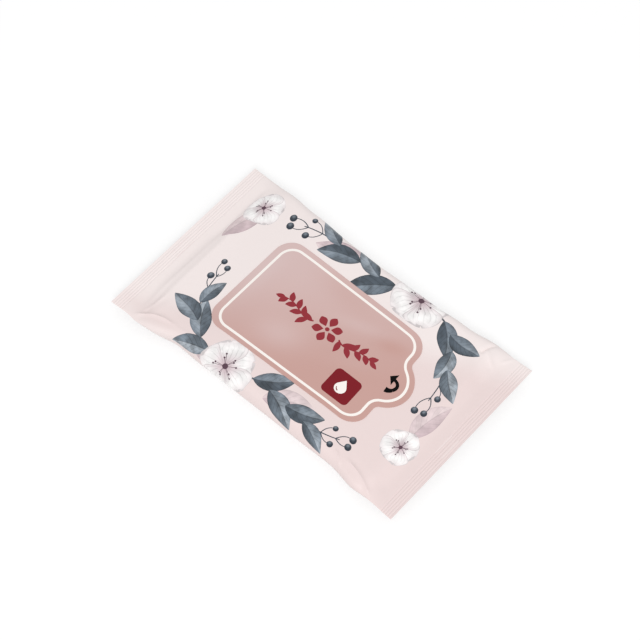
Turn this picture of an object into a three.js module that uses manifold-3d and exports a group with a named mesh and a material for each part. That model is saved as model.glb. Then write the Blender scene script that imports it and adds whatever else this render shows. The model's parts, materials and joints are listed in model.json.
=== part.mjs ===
// Wet wipes pack: a flow-wrapped film pillow, sealed across both ends and along the back,
// with a peel-back reseal label stuck over its top. Millimetres, +Z up, lying on its back.
// X runs along the pack, towards the end that the label's pull tab points at.
import * as THREE from "three";
import { LoftGeometry } from "three/addons/geometries/LoftGeometry.js";
import { mergeVertices } from "three/addons/utils/BufferGeometryUtils.js";
import Module from "manifold-3d";

// Driving dimensions of the film pack
const PACK_LENGTH = 144.5; // over both end seals
const PACK_WIDTH = 85; // across a flat end seal
const PACK_HEIGHT = 11; // table to the crown of the top
const SEAL_BAND = 6.3; // ribbed length of an end seal
const SEAL_LEVEL = 5; // table to the middle of an end seal
const SHOULDER_LENGTH = 7.5; // from an end seal to where the contents hold the film at full height
const SIDE_TUCK = 2.4; // how far each side of the filled body draws in from the seal's width
const TUCK_LENGTH = 16; // length over which the side draws in
const BASE_SAG = 1.2; // how far the filled underside would hang below the table if nothing held it
const FILM_THICKNESS = 0.1;

// Crimp ribs of an end seal
const RIB_COUNT = 5;
const RIB_DEPTH = 0.36; // valley to crest
const RIB_MARGIN = 0.4; // flat strip on each side of the ribs

// Back seam: two web edges sealed face to face and folded flat against the underside
const SEAM_WIDTH = 10;
const SEAM_GROOVE = 1.4; // strip beside the seam where the underside climbs over its edge
const SEAM_STEP = 0.04; // plan width of the seam's cut edge

// Reseal label
const LABEL_LENGTH = 76; // without its pull tab
const LABEL_WIDTH = 50.5;
const LABEL_CORNER = 8;
const LABEL_THICKNESS = 0.15;
const LABEL_GAP = 0.1; // adhesive between film and label
const TAB_REACH = 7.7; // how far the pull tab stands out of the label's end
const TAB_RADIUS = 10.2;
const TAB_NECK_RADIUS = 5; // hollow fillet on each side of the tab

// Facets
const SECTION_STEPS = 7; // from the back seam to a side of the pack
const SHOULDER_STEPS = 5;
const BODY_STEPS = 5;
const CROWN_POWER = 6; // how square the filled section is
const LABEL_CELL = 3.2; // plan size of the label's facets
const CURVE_SEGMENTS = 10; // points on each arc of the label's outline
const MERGE_DISTANCE = 1e-4; // facet corners nearer than this are one corner

// Values that follow from the dimensions
const HALF_LENGTH = PACK_LENGTH / 2;
const HALF_WIDTH = PACK_WIDTH / 2;
const HALF_SEAL = FILM_THICKNESS; // half of two films sealed together
const SEAM_THICKNESS = 2 * FILM_THICKNESS;
const TIP_X = LABEL_LENGTH / 2 + TAB_REACH;

const clamp = THREE.MathUtils.clamp;
const smooth = (share) => THREE.MathUtils.smoothstep(share, 0, 1);
const distanceToEnd = (x) => HALF_LENGTH - Math.abs(x);

// Zero across the end seals, one where the contents fill the film.
const fill = (x) => smooth((distanceToEnd(x) - SEAL_BAND) / SHOULDER_LENGTH);

// Half of the pack's width at x: full at the seals, drawn in along the filled body.
const halfWidth = (x) =>
  HALF_WIDTH - SIDE_TUCK * smooth((distanceToEnd(x) - SEAL_BAND) / TUCK_LENGTH);

// Height share of the filled section, from one in the middle to zero at the side.
const crown = (x, y) =>
  Math.sqrt(1 - clamp(Math.abs(y) / halfWidth(x), 0, 1) ** CROWN_POWER);

// Ribs lift and lower both films of a seal together, crest by crest.
function ribWave(x) {
  const pitch = (SEAL_BAND - 2 * RIB_MARGIN) / RIB_COUNT;
  const turns = (distanceToEnd(x) - RIB_MARGIN) / pitch;
  if (turns <= 0 || turns >= RIB_COUNT) return 0;
  const sawtooth = 1 - Math.abs(2 * (turns - Math.floor(turns)) - 1);
  return RIB_DEPTH * sawtooth;
}

// Height of the outer face of the top film.
function topLevel(x, y) {
  const rise = PACK_HEIGHT - SEAL_LEVEL - HALF_SEAL;
  return SEAL_LEVEL + ribWave(x) + HALF_SEAL + rise * fill(x) * crown(x, y);
}

// Height of the outer face of the bottom film, flattened by the table.
function baseLevel(x, y) {
  const drop = SEAL_LEVEL - HALF_SEAL + BASE_SAG;
  return Math.max(0, SEAL_LEVEL + ribWave(x) - HALF_SEAL - drop * fill(x) * crown(x, y));
}

// Underside with the folded seam on it. Beside the seam the film climbs by the seam's thickness.
function underLevel(x, y) {
  const base = baseLevel(x, y);
  const onSeam = y >= -SEAM_WIDTH && y <= 0;
  if (onSeam) return Math.max(0, base - SEAM_THICKNESS);
  const beside = y > 0 ? y : -SEAM_WIDTH - y;
  const climb = clamp(1 - beside / SEAM_GROOVE, 0, 1);
  return Math.max(base, SEAM_THICKNESS * climb);
}

// Places from the pack's side in to a seam's groove, closer together where the section turns down.
function sideColumns(side, groove) {
  return Array.from({ length: SECTION_STEPS + 1 }, (_, step) => {
    const turn = (1 - step / SECTION_STEPS) * (Math.PI / 2);
    return groove + (side - groove) * Math.sin(turn);
  });
}

// Places across the pack at x, from +Y to -Y, with the seam's edges among them.
function columns(x) {
  const side = halfWidth(x);
  return [
    ...sideColumns(side, SEAM_GROOVE),
    SEAM_STEP,
    0,
    -SEAM_WIDTH,
    -SEAM_WIDTH - SEAM_STEP,
    ...sideColumns(-side, -SEAM_WIDTH - SEAM_GROOVE).reverse(),
  ];
}

// One closed ring of the pack at x: over the top from +Y to -Y, and back along the underside.
function section(x) {
  const across = columns(x);
  const top = across.map((y) => new THREE.Vector3(x, y, topLevel(x, y)));
  const under = across.map((y) => new THREE.Vector3(x, y, underLevel(x, y)));
  return [...top, ...under.reverse()];
}

// Distances from an end at which the pack is sectioned.
function stations() {
  const pitch = (SEAL_BAND - 2 * RIB_MARGIN) / RIB_COUNT;
  const ribs = Array.from({ length: 2 * RIB_COUNT + 1 }, (_, k) => RIB_MARGIN + (k * pitch) / 2);
  const shoulder = Array.from(
    { length: SHOULDER_STEPS + 1 },
    (_, k) => SEAL_BAND + (k / SHOULDER_STEPS) * SHOULDER_LENGTH,
  );
  const bodyStart = SEAL_BAND + SHOULDER_LENGTH;
  const body = Array.from(
    { length: BODY_STEPS },
    (_, k) => bodyStart + ((k + 1) / BODY_STEPS) ** 2 * (HALF_LENGTH - bodyStart),
  );
  return [0, ...ribs, ...shoulder, ...body];
}

function filmPackGeometry() {
  const fromEnd = stations();
  const left = fromEnd.map((d) => d - HALF_LENGTH);
  const right = fromEnd.slice(0, -1).reverse().map((d) => HALF_LENGTH - d);
  const sections = [...left, ...right].map(section);
  return new LoftGeometry(sections, { capStart: true, capEnd: true });
}

// Plan outline of the label: a rounded rectangle that runs into a round pull tab through hollow fillets.
function labelOutline() {
  const end = LABEL_LENGTH / 2;
  const side = LABEL_WIDTH / 2;
  const tabCentre = TIP_X - TAB_RADIUS;
  const neckX = end + TAB_NECK_RADIUS;
  const reach = TAB_RADIUS + TAB_NECK_RADIUS;
  const neckY = Math.sqrt(reach ** 2 - (neckX - tabCentre) ** 2);
  const tangent = Math.atan2(neckY, neckX - tabCentre);
  const quarter = Math.PI / 2;
  const outline = new THREE.Shape();
  outline.absarc(end - LABEL_CORNER, LABEL_CORNER - side, LABEL_CORNER, -quarter, 0);
  outline.absarc(neckX, -neckY, TAB_NECK_RADIUS, Math.PI, Math.PI - tangent, true);
  outline.absarc(tabCentre, 0, TAB_RADIUS, -tangent, tangent);
  outline.absarc(neckX, neckY, TAB_NECK_RADIUS, Math.PI + tangent, Math.PI, true);
  outline.absarc(end - LABEL_CORNER, side - LABEL_CORNER, LABEL_CORNER, 0, quarter);
  outline.absarc(LABEL_CORNER - end, side - LABEL_CORNER, LABEL_CORNER, quarter, Math.PI);
  outline.absarc(LABEL_CORNER - end, LABEL_CORNER - side, LABEL_CORNER, Math.PI, 3 * quarter);
  return outline;
}

// A sheet of the label's thickness over the whole top, draped on the film.
function drapedSheet() {
  const length = 2 * TIP_X;
  const cells = (size) => Math.max(1, Math.round(size / LABEL_CELL));
  const sheet = new THREE.BoxGeometry(
    length,
    LABEL_WIDTH,
    LABEL_THICKNESS,
    cells(length),
    cells(LABEL_WIDTH),
    1,
  );
  const places = sheet.getAttribute("position");
  for (let k = 0; k < places.count; k++) {
    const seat = topLevel(places.getX(k), places.getY(k)) + LABEL_GAP + LABEL_THICKNESS / 2;
    places.setZ(k, places.getZ(k) + seat);
  }
  return sheet;
}

// The outline as a prism tall enough to cut the draped sheet anywhere on the pack.
function outlinePrism() {
  return new THREE.ExtrudeGeometry(labelOutline(), {
    depth: 2 * PACK_HEIGHT,
    bevelEnabled: false,
    curveSegments: CURVE_SEGMENTS,
  });
}

const wasm = await Module();
wasm.setup();

function toSolid(geometry) {
  const bare = geometry.clone();
  bare.deleteAttribute("normal");
  bare.deleteAttribute("uv");
  const merged = mergeVertices(bare, MERGE_DISTANCE);
  return new wasm.Manifold(
    new wasm.Mesh({
      numProp: 3,
      vertProperties: merged.getAttribute("position").array,
      triVerts: new Uint32Array(merged.getIndex().array),
    }),
  );
}

function toGeometry(solid) {
  const mesh = solid.getMesh();
  const geometry = new THREE.BufferGeometry();
  geometry.setAttribute("position", new THREE.BufferAttribute(mesh.vertProperties, 3));
  geometry.setIndex(new THREE.BufferAttribute(mesh.triVerts, 1));
  geometry.computeVertexNormals();
  return geometry;
}

const labelGeometry = () =>
  toGeometry(toSolid(drapedSheet()).intersect(toSolid(outlinePrism())));

const printedFilm = new THREE.MeshStandardMaterial({ color: 0xf0e1df, roughness: 0.35 });
const labelFilm = new THREE.MeshStandardMaterial({ color: 0xd2aca6, roughness: 0.4 });

function piece(name, geometry, material) {
  const mesh = new THREE.Mesh(geometry, material);
  mesh.name = name;
  return mesh;
}

const pack = new THREE.Group();
pack.add(piece("film_pack", filmPackGeometry(), printedFilm));
pack.add(piece("reseal_label", labelGeometry(), labelFilm));

export default pack;
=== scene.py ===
"""Looks of a wet wipes pack: a printed film pillow with ribbed end seals and a peel-back label.

The flat film tube is filled by a cloth simulation around a stack of folded sheets. Its print and the
label's print are drawn on the flat film, and the drawing is then carried onto the filled shape.
"""

import json
import logging
import math
from dataclasses import dataclass, field
from enum import Enum
from typing import Callable

import bpy
import numpy as np
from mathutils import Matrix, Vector, kdtree
from mathutils.geometry import delaunay_2d_cdt

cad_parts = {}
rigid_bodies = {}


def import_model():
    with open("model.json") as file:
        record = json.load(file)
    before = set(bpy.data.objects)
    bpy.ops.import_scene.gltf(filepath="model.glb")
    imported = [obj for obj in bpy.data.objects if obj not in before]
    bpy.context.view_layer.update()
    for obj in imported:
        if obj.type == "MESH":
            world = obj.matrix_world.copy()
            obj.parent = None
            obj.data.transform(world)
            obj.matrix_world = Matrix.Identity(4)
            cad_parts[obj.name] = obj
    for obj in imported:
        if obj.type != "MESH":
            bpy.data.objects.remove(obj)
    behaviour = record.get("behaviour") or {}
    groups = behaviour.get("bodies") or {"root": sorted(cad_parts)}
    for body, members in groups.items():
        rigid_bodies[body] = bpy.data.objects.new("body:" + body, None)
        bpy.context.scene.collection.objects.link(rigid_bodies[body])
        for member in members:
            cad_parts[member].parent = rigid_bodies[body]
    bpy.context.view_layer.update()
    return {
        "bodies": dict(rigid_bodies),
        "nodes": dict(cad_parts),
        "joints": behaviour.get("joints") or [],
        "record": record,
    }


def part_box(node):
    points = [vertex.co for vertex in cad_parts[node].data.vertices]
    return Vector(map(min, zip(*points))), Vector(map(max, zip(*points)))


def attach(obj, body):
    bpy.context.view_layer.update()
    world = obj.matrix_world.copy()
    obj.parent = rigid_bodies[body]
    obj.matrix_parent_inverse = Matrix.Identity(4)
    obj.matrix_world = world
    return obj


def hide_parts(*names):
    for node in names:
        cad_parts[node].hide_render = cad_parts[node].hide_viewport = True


MM = 0.001
NEAR = 0.001
SMOOTH_ANGLE = 50
LOG = logging.getLogger("wipes_pack")

Points = np.ndarray
Socket = bpy.types.NodeSocket


def linear(red: int, green: int, blue: int) -> np.ndarray:
    """Turn a colour written as screen values of 0 to 255 into scene-linear values.

    Args:
        red: Red of the screen colour.
        green: Green of the screen colour.
        blue: Blue of the screen colour.

    Returns:
        The three scene-linear values.
    """
    share = np.array([red, green, blue], float) / 255
    return np.where(share <= 0.04045, share / 12.92, ((share + 0.055) / 1.055) ** 2.4)


def smoothstep(value: Points, low: float, high: float) -> Points:
    """Rise smoothly from 0 at low to 1 at high."""
    share = np.clip((value - low) / (high - low), 0, 1)
    return share * share * (3 - 2 * share)


class Palette(Enum):
    """Colours of the print, as scene-linear values."""

    FILM_PALE = tuple(linear(245, 234, 232))
    # The film's pink in painted shade, laid towards the pack's near right.
    FILM_SHADED = tuple(linear(235, 217, 215))
    SLATE_DARK = tuple(linear(70, 80, 90))
    SLATE = tuple(linear(122, 133, 144))
    SLATE_PALE = tuple(linear(182, 190, 198))
    BLUSH_DARK = tuple(linear(206, 184, 189))
    BLUSH = tuple(linear(222, 203, 205))
    BLUSH_PALE = tuple(linear(236, 220, 220))
    STEM = tuple(linear(60, 69, 80))
    BERRY = tuple(linear(36, 47, 60))
    BERRY_SHINE = tuple(linear(150, 160, 170))
    PETAL = tuple(linear(252, 250, 249))
    PETAL_HEART = tuple(linear(206, 184, 190))
    PETAL_EDGE = tuple(linear(235, 222, 224))
    STAMEN = tuple(linear(84, 56, 70))
    LABEL_LIGHT = tuple(linear(217, 190, 187))
    LABEL_DEEP = tuple(linear(203, 163, 155))
    KEYLINE = tuple(linear(252, 246, 241))
    CARMINE = tuple(linear(128, 34, 42))
    ROSEWOOD = tuple(linear(150, 54, 62))
    INK_BLACK = tuple(linear(9, 7, 8))

    @property
    def rgb(self) -> np.ndarray:
        """The colour as an array."""
        return np.array(self.value)


class Wash(Enum):
    """Pale, middle and dark tone of a painted leaf."""

    SLATE = (Palette.SLATE_PALE, Palette.SLATE, Palette.SLATE_DARK)
    BLUSH = (Palette.BLUSH_PALE, Palette.BLUSH, Palette.BLUSH_DARK)

    @property
    def strength(self) -> float:
        """How strongly grain and veins show in the wash."""
        return 1.0 if self is Wash.SLATE else 0.35


def blend(first: Points, second: Points, share: Points) -> Points:
    """Mix two colours, with a share of the second for each point."""
    return first + (second - first) * share[:, None]


@dataclass
class Ink:
    """What the print puts on each of some points of a sheet.

    tint is the colour, motif is the place along and across a leaf or petal, and amounts are the shares
    of watercolour wash, leaf veins and petal streaks.
    """

    tint: Points
    motif: Points
    amounts: Points

    @classmethod
    def bare(cls, tint: Points) -> "Ink":
        """Ink of the given colours, a row for each point, with no wash, veins or streaks."""
        return cls(tint, np.zeros((len(tint), 2)), np.zeros((len(tint), 3)))


@dataclass
class Shape:
    """One closed field of print on a flat sheet, in millimetres."""

    outline: Points
    paint: Callable[[Points], Ink]

    def counterclockwise(self) -> Points:
        """Turn the outline to run counterclockwise.

        Returns:
            The outline's corners.
        """
        x, y = self.outline.T
        area = np.sum(x * np.roll(y, -1) - np.roll(x, -1) * y)
        return self.outline if area > 0 else self.outline[::-1]


def flat_shape(outline: Points, colour: Palette) -> Shape:
    """A field of one colour inside an outline."""
    return Shape(outline, lambda points: Ink.bare(np.tile(colour.rgb, (len(points), 1))))


def arc(centre: tuple[float, float], radius: float, start: float, end: float, count: int) -> Points:
    """Points along an arc.

    Args:
        centre: Centre of the circle.
        radius: Its radius.
        start: First angle in degrees.
        end: Last angle in degrees.
        count: Number of points.

    Returns:
        The points, from start to end.
    """
    angles = np.radians(np.linspace(start, end, count))
    return np.array(centre) + radius * np.column_stack([np.cos(angles), np.sin(angles)])


def disc(centre: tuple[float, float], radius: float, count: int) -> Points:
    """Corners of a full circle."""
    return arc(centre, radius, 0, 360 - 360 / count, count)


def bezier(controls: Points, count: int) -> Points:
    """Points along a cubic Bezier curve.

    Args:
        controls: Its four control points.
        count: Number of points.

    Returns:
        The points, from the first control to the last.
    """
    t = np.linspace(0, 1, count)[:, None]
    first, second, third, last = np.asarray(controls, float)
    return (1 - t) ** 3 * first + 3 * t * (1 - t) ** 2 * second + 3 * t * t * (1 - t) * third + t**3 * last


def divided(outline: Points, step: float) -> Points:
    """Add corners along the long sides of a closed outline.

    Args:
        outline: The outline's corners.
        step: The longest side that is left as it is.

    Returns:
        The outline with no side longer than the step.
    """
    sides = []
    for start, end in zip(outline, np.roll(outline, -1, axis=0)):
        count = max(1, math.ceil(np.linalg.norm(end - start) / step))
        sides.append(start + (end - start) * np.arange(count)[:, None] / count)
    return np.vstack(sides)


def side_of(line: Points) -> Points:
    """Find the direction to the left of a line.

    Args:
        line: Points of the line.

    Returns:
        A unit vector square to the line at each of its points.
    """
    along = np.gradient(line, axis=0)
    along /= np.linalg.norm(along, axis=1, keepdims=True)
    return np.column_stack([-along[:, 1], along[:, 0]])


def headings(line: Points) -> Points:
    """The way that a line runs at each of its points, in degrees."""
    return np.degrees(np.arctan2(*np.gradient(line, axis=0).T[::-1]))


def direction(angle: float) -> Points:
    """Unit vector at an angle in degrees."""
    return np.array([math.cos(math.radians(angle)), math.sin(math.radians(angle))])


def beside(points: Points, line: Points) -> tuple[Points, Points, Points, Points]:
    """Find the nearest place on a line for each of some points.

    Args:
        points: Points of the plane.
        line: Corners of the line.

    Returns:
        For each point, the number of the nearest side of the line, the share of the way along that side,
        the way that the side runs, and the offset of the point from it.
    """
    start, step = line[:-1], np.diff(line, axis=0)
    offset = points[:, None, :] - start[None]
    share = np.clip(np.sum(offset * step, axis=2) / np.sum(step * step, axis=1), 0, 1)
    gap = offset - share[..., None] * step
    nearest = np.argmin(np.sum(gap * gap, axis=2), axis=1)
    rows = np.arange(len(points))
    return nearest, share[rows, nearest], step[nearest], gap[rows, nearest]


def leftward(way: Points, offset: Points) -> Points:
    """Cross product of ways and offsets, above zero where the offset points to the left."""
    return way[:, 0] * offset[:, 1] - way[:, 1] * offset[:, 0]


def clear_of(points: Points, taken: Points, gap: float) -> Points:
    """Leave out the points that lie too close to others.

    Args:
        points: Points to choose from.
        taken: The others.
        gap: Distance that has to stay free.

    Returns:
        The points that are left, in order.
    """
    tree = kdtree.KDTree(len(taken))
    for k, (x, y) in enumerate(taken):
        tree.insert((x, y, 0), k)
    tree.balance()
    return points[[tree.find((x, y, 0))[2] > gap for x, y in points]]


def stroke(line: Points, start_width: float, end_width: float) -> Points:
    """Outline of a brush stroke along a line.

    Args:
        line: Points of the line.
        start_width: Width at its start.
        end_width: Width at its end.

    Returns:
        The stroke's outline.
    """
    half = np.linspace(start_width, end_width, len(line))[:, None] / 2
    side = side_of(line) * half
    return np.vstack([line - side, (line + side)[::-1]])


@dataclass
class Blade:
    """A leaf or petal on the flat film: a curved spine with a width that swells and closes again."""

    base: tuple[float, float]
    angle: float
    length: float
    width: float
    bend: float = 0.0
    fullness: float = 0.85
    notch: float = 0.0
    roundness: float = 0.85
    steps: int = 18
    least_half: float = 0.05

    def shares(self) -> Points:
        """Shares of the length at which the blade is drawn, closer together at its ends."""
        return 0.5 - 0.5 * np.cos(np.pi * np.linspace(0, 1, self.steps))

    def spine(self) -> Points:
        """Draw the middle of the blade.

        Returns:
            Points from its base to its tip, which a notch sets back.
        """
        t = self.shares()
        turn = math.radians(self.angle)
        along = self.length * (1 - self.notch * (t > 1 - NEAR)) * t
        across = self.bend * self.length * np.sin(np.pi * t)
        return np.array(self.base) + np.column_stack([
            along * math.cos(turn) - across * math.sin(turn),
            along * math.sin(turn) + across * math.cos(turn),
        ])

    def half_width(self, share: Points) -> Points:
        """Half of the blade's width at a share of its length."""
        return self.width / 2 * np.sin(np.pi * np.clip(share, 0, 1) ** self.fullness) ** self.roundness

    def outline(self) -> Points:
        """The blade's whole edge."""
        spine = self.spine()
        return np.vstack([spine[:1], self.edge(-1), spine[-1:], self.edge(1)[::-1]])

    def edge(self, side: int) -> Points:
        """Points along one edge, from base to tip, without those two."""
        spine = self.spine()
        return (spine + side * side_of(spine) * self.half_width(self.shares())[:, None])[1:-1]

    def place(self, points: Points) -> Points:
        """Where points lie in the blade: share along it, and share of the way to its edge.

        Args:
            points: Points on the flat film.

        Returns:
            One row of (along, across) for each point, with across below zero on the right.
        """
        nearest, share, way, offset = beside(points, self.spine())
        drawn = self.shares()
        along = drawn[nearest] + share * np.diff(drawn)[nearest]
        reach = leftward(way, offset) / np.linalg.norm(way, axis=1)
        across = reach / np.maximum(self.half_width(along), self.least_half)
        return np.column_stack([along, np.clip(across, -1, 1)])


@dataclass
class Leaf(Blade):
    """A painted leaf washed in two tones, one on each side of its midrib."""

    tone: float = 0.5
    wash: Wash = Wash.SLATE
    contrast: float = 0.22
    tip_light: float = 0.35
    edge_dark: float = 0.2

    def shapes(self) -> list[Shape]:
        """The two halves of the leaf."""
        return [self._half(side) for side in (1, -1)]

    def _half(self, side: int) -> Shape:
        """The half of the leaf on one side of its midrib: 1 is the left one and -1 the right one."""
        outline = np.vstack([self.spine(), self.edge(side)[::-1]])
        return Shape(outline, lambda points: self._paint(points, side))

    def _paint(self, points: Points, side: int) -> Ink:
        """Wash one half of the leaf, paler towards the tip.

        Args:
            points: Points of that half on the flat film.
            side: 1 for the left half and -1 for the right one.

        Returns:
            Their ink.
        """
        along, across = self.place(points).T
        out = np.abs(across)
        deep = self.tone - side * self.contrast
        shade = np.clip(deep + self.tip_light * (0.5 - along) + self.edge_dark * out**2, 0, 1)[:, None]
        pale, mid, dark = (tone.rgb for tone in self.wash.value)
        tint = np.where(
            shade < 0.5,
            pale + (mid - pale) * shade * 2,
            mid + (dark - mid) * (shade * 2 - 1),
        )
        amounts = np.tile([self.wash.strength, self.wash.strength, 0.0], (len(points), 1))
        return Ink(tint, np.column_stack([along, out]), amounts)


@dataclass
class Petal(Blade):
    """A white petal with a plum flush at its heart, a notched tip and a ruffled edge."""

    number: int = 0
    ruffle: float = 0.05
    ruffle_waves: float = 11.0
    ruffle_shift: float = 2.1
    ruffle_start: float = 0.3
    ruffle_full: float = 0.6
    flush_reach: float = 0.62
    rim_start: float = 0.6
    rim_strength: float = 0.6
    grain: float = 0.3

    def half_width(self, share: Points) -> Points:
        """Half of the petal's width, with a soft ruffle.

        Args:
            share: Shares of the petal's length.

        Returns:
            The half width at each of them.
        """
        wave = np.sin(self.ruffle_waves * share + self.ruffle_shift * self.number)
        ruffle = 1 + self.ruffle * wave * smoothstep(share, self.ruffle_start, self.ruffle_full)
        return super().half_width(share) * ruffle

    def shapes(self) -> list[Shape]:
        """The petal's one field."""
        return [Shape(self.outline(), self._paint)]

    def _paint(self, points: Points) -> Ink:
        """Flush the petal towards its heart and shade it at its rim.

        Args:
            points: Points of the petal on the flat film.

        Returns:
            Their ink.
        """
        along, across = self.place(points).T
        flush = 1 - smoothstep(along, 0.0, self.flush_reach)
        rim = self.rim_strength * smoothstep(np.maximum(np.abs(across), along), self.rim_start, 1.0)
        tint = blend(Palette.PETAL.rgb, Palette.PETAL_HEART.rgb, flush)
        tint = blend(tint, Palette.PETAL_EDGE.rgb, rim * (1 - flush))
        amounts = np.tile([self.grain, 0.0, 1.0], (len(points), 1))
        return Ink(tint, np.column_stack([along, across]), amounts)


@dataclass
class Berry:
    """A round dark berry with a soft light on one side."""

    centre: tuple[float, float]
    radius: float
    light_offset: tuple[float, float] = (-0.3, 0.35)
    light_core: float = 0.1
    light_reach: float = 0.8
    light_strength: float = 0.7
    grain: float = 0.5

    def shapes(self) -> list[Shape]:
        """The berry's field, and a smaller one inside it that gives the light more corners."""
        rings = [disc(self.centre, self.radius, 24), disc(self.centre, self.radius / 2, 10)]
        return [Shape(ring, self._paint) for ring in rings]

    def _paint(self, points: Points) -> Ink:
        """Light the berry from one side.

        Args:
            points: Points of the berry on the flat film.

        Returns:
            Their ink.
        """
        light = np.array(self.centre) + self.radius * np.array(self.light_offset)
        far = np.linalg.norm(points - light, axis=1)
        near = 1 - smoothstep(far, self.light_core, self.radius * self.light_reach)
        ink = Ink.bare(blend(Palette.BERRY.rgb, Palette.BERRY_SHINE.rgb, self.light_strength * near))
        ink.amounts[:, 0] = self.grain
        return ink


@dataclass
class Blossom:
    """An open flower seen from above, with notched petals and a ring of stamens."""

    centre: tuple[float, float]
    radius: float
    turn: float
    number: int
    petals: int = 5
    petal_spread: float = 2.1
    petal_bend: float = 0.04
    petal_fullness: float = 1.45
    petal_notch: float = 0.1
    stamens: int = 11
    stamen_sway: float = 0.35
    stamen_reach: float = 0.3
    stamen_step: float = 0.07
    stamen_bow: float = 0.05
    stalk_widths: tuple[float, float] = (0.12, 0.2)
    dot: float = 0.035
    heart: float = 0.1

    def shapes(self) -> list[Shape]:
        """Draw the flower.

        Returns:
            The petals, then the stamens and the heart over them.
        """
        found: list[Shape] = []
        width = self.petal_spread * self.radius * math.sin(math.pi / self.petals)
        for k in range(self.petals):
            petal = Petal(
                self.centre,
                self.turn + 360 * k / self.petals,
                self.radius,
                width,
                bend=self.petal_bend * (-1) ** k,
                fullness=self.petal_fullness,
                notch=self.petal_notch,
                number=self.number + k,
            )
            found += petal.shapes()
        for k in range(self.stamens):
            found += self._stamen(k)
        return found + [flat_shape(disc(self.centre, self.heart * self.radius, 18), Palette.STAMEN)]

    def _stamen(self, k: int) -> list[Shape]:
        """Draw one stamen.

        Args:
            k: Its number in the ring.

        Returns:
            Its fine stalk, and the dot at its tip.
        """
        way = direction(self.turn + 360 * (k + self.stamen_sway * (-1) ** k) / self.stamens)
        tip = np.array(self.centre) + self.radius * (self.stamen_reach + self.stamen_step * (k % 3)) * way
        bow = self.stamen_bow * np.array([[0], [1], [1], [0]]) * way[::-1]
        stalk = stroke(np.linspace(self.centre, tip, 4) + bow, *self.stalk_widths)
        parts = [stalk, disc(tuple(tip), self.dot * self.radius, 10)]
        return [flat_shape(part, Palette.STAMEN) for part in parts]


@dataclass
class Sprig:
    """A curved stem with leaves set along it by turns, and berries on fine stalks at its end."""

    stem: list[tuple[float, float]]
    leaf_length: float
    leaf_width: float
    spread: float
    berries: int
    number: int
    side: int = 1
    leaves: int = 4
    first_leaf: float = 0.6
    bare_end: float = 1.1
    taper: float = 0.28
    leaf_bend: float = 0.07
    leaf_sizes: tuple[float, float] = (0.9, 1.12)
    leaf_tones: tuple[float, float] = (0.25, 0.8)
    turns: tuple[float, float] = (0.8, 1.2)
    stem_widths: tuple[float, float] = (0.75, 0.4)
    berry_angle: float = 14.0
    berry_fan: float = 17.0
    berry_step: int = 4
    berry_radii: tuple[float, float] = (1.15, 1.6)
    stalk_reaches: tuple[float, float] = (5.0, 8.0)
    stalk_bow: float = 0.22
    stalk_widths: tuple[float, float] = (0.4, 0.3)

    def shapes(self) -> list[Shape]:
        """Draw the sprig.

        Returns:
            The stem, its leaves and its berries, in painting order.
        """
        chance = np.random.default_rng(self.number)
        line = bezier(np.array(self.stem), 40)
        ways = headings(line)
        found = [flat_shape(stroke(line, *self.stem_widths), Palette.STEM)]
        for k in range(self.leaves):
            share = (k + self.first_leaf) / (self.leaves + self.bare_end)
            at = round(share * (len(line) - 1))
            side = self.side * (-1) ** k
            size = (1 - self.taper * share) * chance.uniform(*self.leaf_sizes)
            leaf = Leaf(
                tuple(line[at]),
                ways[at] + side * self.spread * chance.uniform(*self.turns),
                self.leaf_length * size,
                self.leaf_width * size,
                bend=-self.leaf_bend * side,
                tone=chance.uniform(*self.leaf_tones),
            )
            found += leaf.shapes()
        for k in range(self.berries):
            found += self._berry(line, ways[-1], k, chance)
        return found

    def _berry(self, line: Points, way: float, k: int, chance: np.random.Generator) -> list[Shape]:
        """Draw one berry.

        Args:
            line: Points of the stem.
            way: The way that the stem runs at its end, in degrees.
            k: Number of the berry, counted back from the stem's end.
            chance: The sprig's random numbers.

        Returns:
            The stalk, and the berry at its tip.
        """
        pair, side = k // 2, (-1) ** k
        root = line[-2 - self.berry_step * pair]
        lean = side * (self.berry_angle + self.berry_fan * pair) * chance.uniform(*self.turns)
        ahead = direction(way + lean)
        reach = chance.uniform(*self.stalk_reaches)
        tip = root + reach * ahead
        bow = reach * self.stalk_bow * side * np.array([-ahead[1], ahead[0]])
        controls = [root, root * 0.6 + tip * 0.4 + bow, root * 0.3 + tip * 0.7 + bow, tip]
        stalk = stroke(bezier(np.array(controls), 12), *self.stalk_widths)
        berry = Berry(tuple(tip), chance.uniform(*self.berry_radii))
        return [flat_shape(stalk, Palette.STEM), *berry.shapes()]


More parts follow.
